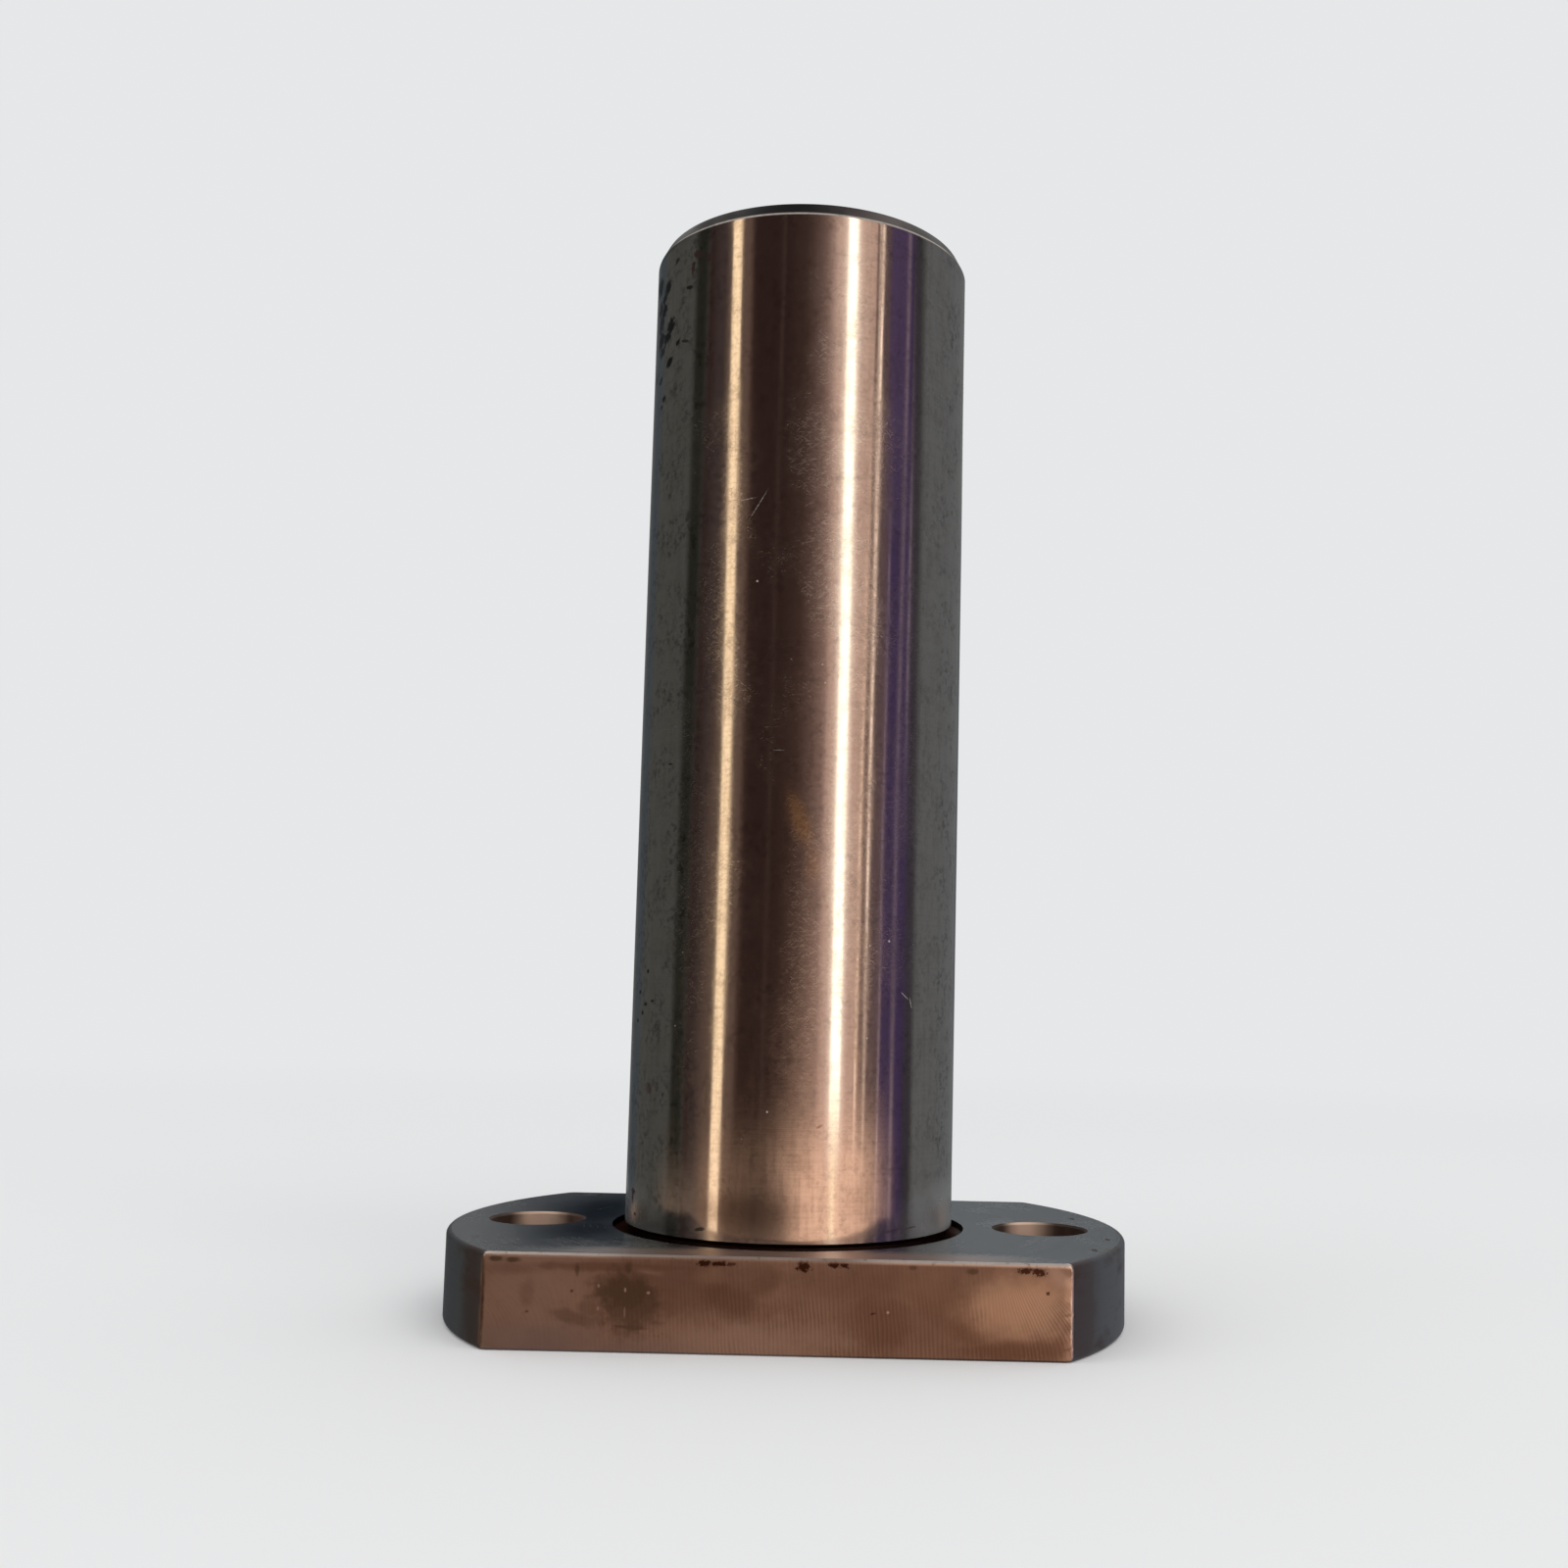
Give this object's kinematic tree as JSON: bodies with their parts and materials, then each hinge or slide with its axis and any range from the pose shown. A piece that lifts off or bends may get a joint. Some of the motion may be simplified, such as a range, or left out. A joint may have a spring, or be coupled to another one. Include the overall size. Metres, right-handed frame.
{
  "type": "flanged linear ball bearing",
  "caption": "Long steel linear ball bearing for a round shaft, with a two-hole flange cut flat on both sides at one end, ball circuits in two retainers, and end seals.",
  "frame": {"origin": "centre of the flange's end face, on the bore's axis, where the bearing stands", "axes": "+Z along the bore from the flange to the plain end, X through the two bolt holes, +Y square to the flange's two flats"},
  "size_m": [0.0654, 0.0412, 0.106],
  "materials": {
    "ground_steel": "ground outside diameter, turned and milled flange, oiled and slightly stained",
    "ball_steel": "polished bearing steel",
    "ring_steel": "spring steel, dark and satin",
    "retainer_resin": "moulded engineering resin, satin",
    "seal_rubber": "moulded nitrile rubber, matt"
  },
  "bodies": {
    "bearing_body": {"flanged_sleeve": "ground_steel", "lower_ball_retainer": "retainer_resin", "upper_ball_retainer": "retainer_resin", "lower_end_seal": "seal_rubber", "upper_end_seal": "seal_rubber", "lower_retaining_ring": "ring_steel", "upper_retaining_ring": "ring_steel"},
    "load_balls": {"lower_circuit_1_load_balls": "ball_steel", "lower_circuit_2_load_balls": "ball_steel", "lower_circuit_3_load_balls": "ball_steel", "lower_circuit_4_load_balls": "ball_steel", "lower_circuit_5_load_balls": "ball_steel", "upper_circuit_1_load_balls": "ball_steel", "upper_circuit_2_load_balls": "ball_steel", "upper_circuit_3_load_balls": "ball_steel", "upper_circuit_4_load_balls": "ball_steel", "upper_circuit_5_load_balls": "ball_steel"},
    "return_balls": {"lower_circuit_1_return_balls": "ball_steel", "lower_circuit_2_return_balls": "ball_steel", "lower_circuit_3_return_balls": "ball_steel", "lower_circuit_4_return_balls": "ball_steel", "lower_circuit_5_return_balls": "ball_steel", "upper_circuit_1_return_balls": "ball_steel", "upper_circuit_2_return_balls": "ball_steel", "upper_circuit_3_return_balls": "ball_steel", "upper_circuit_4_return_balls": "ball_steel", "upper_circuit_5_return_balls": "ball_steel"},
    "lower_circuit_1_upper_turn": {"lower_circuit_1_upper_turn_balls": "ball_steel"},
    "lower_circuit_1_lower_turn": {"lower_circuit_1_lower_turn_balls": "ball_steel"},
    "lower_circuit_2_upper_turn": {"lower_circuit_2_upper_turn_balls": "ball_steel"},
    "lower_circuit_2_lower_turn": {"lower_circuit_2_lower_turn_balls": "ball_steel"},
    "lower_circuit_3_upper_turn": {"lower_circuit_3_upper_turn_balls": "ball_steel"},
    "lower_circuit_3_lower_turn": {"lower_circuit_3_lower_turn_balls": "ball_steel"},
    "lower_circuit_4_upper_turn": {"lower_circuit_4_upper_turn_balls": "ball_steel"},
    "lower_circuit_4_lower_turn": {"lower_circuit_4_lower_turn_balls": "ball_steel"},
    "lower_circuit_5_upper_turn": {"lower_circuit_5_upper_turn_balls": "ball_steel"},
    "lower_circuit_5_lower_turn": {"lower_circuit_5_lower_turn_balls": "ball_steel"},
    "upper_circuit_1_upper_turn": {"upper_circuit_1_upper_turn_balls": "ball_steel"},
    "upper_circuit_1_lower_turn": {"upper_circuit_1_lower_turn_balls": "ball_steel"},
    "upper_circuit_2_upper_turn": {"upper_circuit_2_upper_turn_balls": "ball_steel"},
    "upper_circuit_2_lower_turn": {"upper_circuit_2_lower_turn_balls": "ball_steel"},
    "upper_circuit_3_upper_turn": {"upper_circuit_3_upper_turn_balls": "ball_steel"},
    "upper_circuit_3_lower_turn": {"upper_circuit_3_lower_turn_balls": "ball_steel"},
    "upper_circuit_4_upper_turn": {"upper_circuit_4_upper_turn_balls": "ball_steel"},
    "upper_circuit_4_lower_turn": {"upper_circuit_4_lower_turn_balls": "ball_steel"},
    "upper_circuit_5_upper_turn": {"upper_circuit_5_upper_turn_balls": "ball_steel"},
    "upper_circuit_5_lower_turn": {"upper_circuit_5_lower_turn_balls": "ball_steel"}
  },
  "joints": [
    {"name": "load_balls_roll_up", "type": "slide", "parent": "bearing_body", "child": "load_balls", "axis": [0, 0, 1], "range_m": [0, 0.00298]},
    {"name": "return_balls_roll_down", "type": "slide", "parent": "bearing_body", "child": "return_balls", "axis": [0, 0, -1], "range_m": [0, 0.00298]},
    {"name": "lower_circuit_1_upper_turn_roll_round", "type": "hinge", "parent": "bearing_body", "child": "lower_circuit_1_upper_turn", "pos_m": [0.01139, 0.00285, 0.04662], "axis": [-1, 0, 0], "range_deg": [0, 60.01]},
    {"name": "lower_circuit_1_lower_turn_roll_round", "type": "hinge", "parent": "bearing_body", "child": "lower_circuit_1_lower_turn", "pos_m": [0.01139, 0.00285, 0.01083], "axis": [-1, 0, 0], "range_deg": [0, 60.01]},
    {"name": "lower_circuit_2_upper_turn_roll_round", "type": "hinge", "parent": "bearing_body", "child": "lower_circuit_2_upper_turn", "pos_m": [0.00081, 0.01171, 0.04662], "axis": [-0.309, -0.9511, 0], "range_deg": [0, 60.01]},
    {"name": "lower_circuit_2_lower_turn_roll_round", "type": "hinge", "parent": "bearing_body", "child": "lower_circuit_2_lower_turn", "pos_m": [0.00081, 0.01171, 0.01083], "axis": [-0.309, -0.9511, 0], "range_deg": [0, 60.01]},
    {"name": "lower_circuit_3_upper_turn_roll_round", "type": "hinge", "parent": "bearing_body", "child": "lower_circuit_3_upper_turn", "pos_m": [-0.01089, 0.00439, 0.04662], "axis": [0.809, -0.5878, 0], "range_deg": [0, 60.01]},
    {"name": "lower_circuit_3_lower_turn_roll_round", "type": "hinge", "parent": "bearing_body", "child": "lower_circuit_3_lower_turn", "pos_m": [-0.01089, 0.00439, 0.01083], "axis": [0.809, -0.5878, 0], "range_deg": [0, 60.01]},
    {"name": "lower_circuit_4_upper_turn_roll_round", "type": "hinge", "parent": "bearing_body", "child": "lower_circuit_4_upper_turn", "pos_m": [-0.00754, -0.009, 0.04662], "axis": [0.809, 0.5878, 0], "range_deg": [0, 60.01]},
    {"name": "lower_circuit_4_lower_turn_roll_round", "type": "hinge", "parent": "bearing_body", "child": "lower_circuit_4_lower_turn", "pos_m": [-0.00754, -0.009, 0.01083], "axis": [0.809, 0.5878, 0], "range_deg": [0, 60.01]},
    {"name": "lower_circuit_5_upper_turn_roll_round", "type": "hinge", "parent": "bearing_body", "child": "lower_circuit_5_upper_turn", "pos_m": [0.00623, -0.00995, 0.04662], "axis": [-0.309, 0.9511, 0], "range_deg": [0, 60.01]},
    {"name": "lower_circuit_5_lower_turn_roll_round", "type": "hinge", "parent": "bearing_body", "child": "lower_circuit_5_lower_turn", "pos_m": [0.00623, -0.00995, 0.01083], "axis": [-0.309, 0.9511, 0], "range_deg": [0, 60.01]},
    {"name": "upper_circuit_1_upper_turn_roll_round", "type": "hinge", "parent": "bearing_body", "child": "upper_circuit_1_upper_turn", "pos_m": [0.01139, 0.00285, 0.09517], "axis": [-1, 0, 0], "range_deg": [0, 60.01]},
    {"name": "upper_circuit_1_lower_turn_roll_round", "type": "hinge", "parent": "bearing_body", "child": "upper_circuit_1_lower_turn", "pos_m": [0.01139, 0.00285, 0.05938], "axis": [-1, 0, 0], "range_deg": [0, 60.01]},
    {"name": "upper_circuit_2_upper_turn_roll_round", "type": "hinge", "parent": "bearing_body", "child": "upper_circuit_2_upper_turn", "pos_m": [0.00081, 0.01171, 0.09517], "axis": [-0.309, -0.9511, 0], "range_deg": [0, 60.01]},
    {"name": "upper_circuit_2_lower_turn_roll_round", "type": "hinge", "parent": "bearing_body", "child": "upper_circuit_2_lower_turn", "pos_m": [0.00081, 0.01171, 0.05938], "axis": [-0.309, -0.9511, 0], "range_deg": [0, 60.01]},
    {"name": "upper_circuit_3_upper_turn_roll_round", "type": "hinge", "parent": "bearing_body", "child": "upper_circuit_3_upper_turn", "pos_m": [-0.01089, 0.00439, 0.09517], "axis": [0.809, -0.5878, 0], "range_deg": [0, 60.01]},
    {"name": "upper_circuit_3_lower_turn_roll_round", "type": "hinge", "parent": "bearing_body", "child": "upper_circuit_3_lower_turn", "pos_m": [-0.01089, 0.00439, 0.05938], "axis": [0.809, -0.5878, 0], "range_deg": [0, 60.01]},
    {"name": "upper_circuit_4_upper_turn_roll_round", "type": "hinge", "parent": "bearing_body", "child": "upper_circuit_4_upper_turn", "pos_m": [-0.00754, -0.009, 0.09517], "axis": [0.809, 0.5878, 0], "range_deg": [0, 60.01]},
    {"name": "upper_circuit_4_lower_turn_roll_round", "type": "hinge", "parent": "bearing_body", "child": "upper_circuit_4_lower_turn", "pos_m": [-0.00754, -0.009, 0.05938], "axis": [0.809, 0.5878, 0], "range_deg": [0, 60.01]},
    {"name": "upper_circuit_5_upper_turn_roll_round", "type": "hinge", "parent": "bearing_body", "child": "upper_circuit_5_upper_turn", "pos_m": [0.00623, -0.00995, 0.09517], "axis": [-0.309, 0.9511, 0], "range_deg": [0, 60.01]},
    {"name": "upper_circuit_5_lower_turn_roll_round", "type": "hinge", "parent": "bearing_body", "child": "upper_circuit_5_lower_turn", "pos_m": [0.00623, -0.00995, 0.05938], "axis": [-0.309, 0.9511, 0], "range_deg": [0, 60.01]}
  ],
  "couplings": [
    {"joint": "return_balls_roll_down", "follows": "load_balls_roll_up", "ratio": 1},
    {"joint": "lower_circuit_1_upper_turn_roll_round", "follows": "load_balls_roll_up", "rad_per_m": 351.13},
    {"joint": "lower_circuit_1_lower_turn_roll_round", "follows": "load_balls_roll_up", "rad_per_m": 351.13},
    {"joint": "lower_circuit_2_upper_turn_roll_round", "follows": "load_balls_roll_up", "rad_per_m": 351.13},
    {"joint": "lower_circuit_2_lower_turn_roll_round", "follows": "load_balls_roll_up", "rad_per_m": 351.13},
    {"joint": "lower_circuit_3_upper_turn_roll_round", "follows": "load_balls_roll_up", "rad_per_m": 351.13},
    {"joint": "lower_circuit_3_lower_turn_roll_round", "follows": "load_balls_roll_up", "rad_per_m": 351.13},
    {"joint": "lower_circuit_4_upper_turn_roll_round", "follows": "load_balls_roll_up", "rad_per_m": 351.13},
    {"joint": "lower_circuit_4_lower_turn_roll_round", "follows": "load_balls_roll_up", "rad_per_m": 351.13},
    {"joint": "lower_circuit_5_upper_turn_roll_round", "follows": "load_balls_roll_up", "rad_per_m": 351.13},
    {"joint": "lower_circuit_5_lower_turn_roll_round", "follows": "load_balls_roll_up", "rad_per_m": 351.13},
    {"joint": "upper_circuit_1_upper_turn_roll_round", "follows": "load_balls_roll_up", "rad_per_m": 351.13},
    {"joint": "upper_circuit_1_lower_turn_roll_round", "follows": "load_balls_roll_up", "rad_per_m": 351.13},
    {"joint": "upper_circuit_2_upper_turn_roll_round", "follows": "load_balls_roll_up", "rad_per_m": 351.13},
    {"joint": "upper_circuit_2_lower_turn_roll_round", "follows": "load_balls_roll_up", "rad_per_m": 351.13},
    {"joint": "upper_circuit_3_upper_turn_roll_round", "follows": "load_balls_roll_up", "rad_per_m": 351.13},
    {"joint": "upper_circuit_3_lower_turn_roll_round", "follows": "load_balls_roll_up", "rad_per_m": 351.13},
    {"joint": "upper_circuit_4_upper_turn_roll_round", "follows": "load_balls_roll_up", "rad_per_m": 351.13},
    {"joint": "upper_circuit_4_lower_turn_roll_round", "follows": "load_balls_roll_up", "rad_per_m": 351.13},
    {"joint": "upper_circuit_5_upper_turn_roll_round", "follows": "load_balls_roll_up", "rad_per_m": 351.13},
    {"joint": "upper_circuit_5_lower_turn_roll_round", "follows": "load_balls_roll_up", "rad_per_m": 351.13}
  ]
}
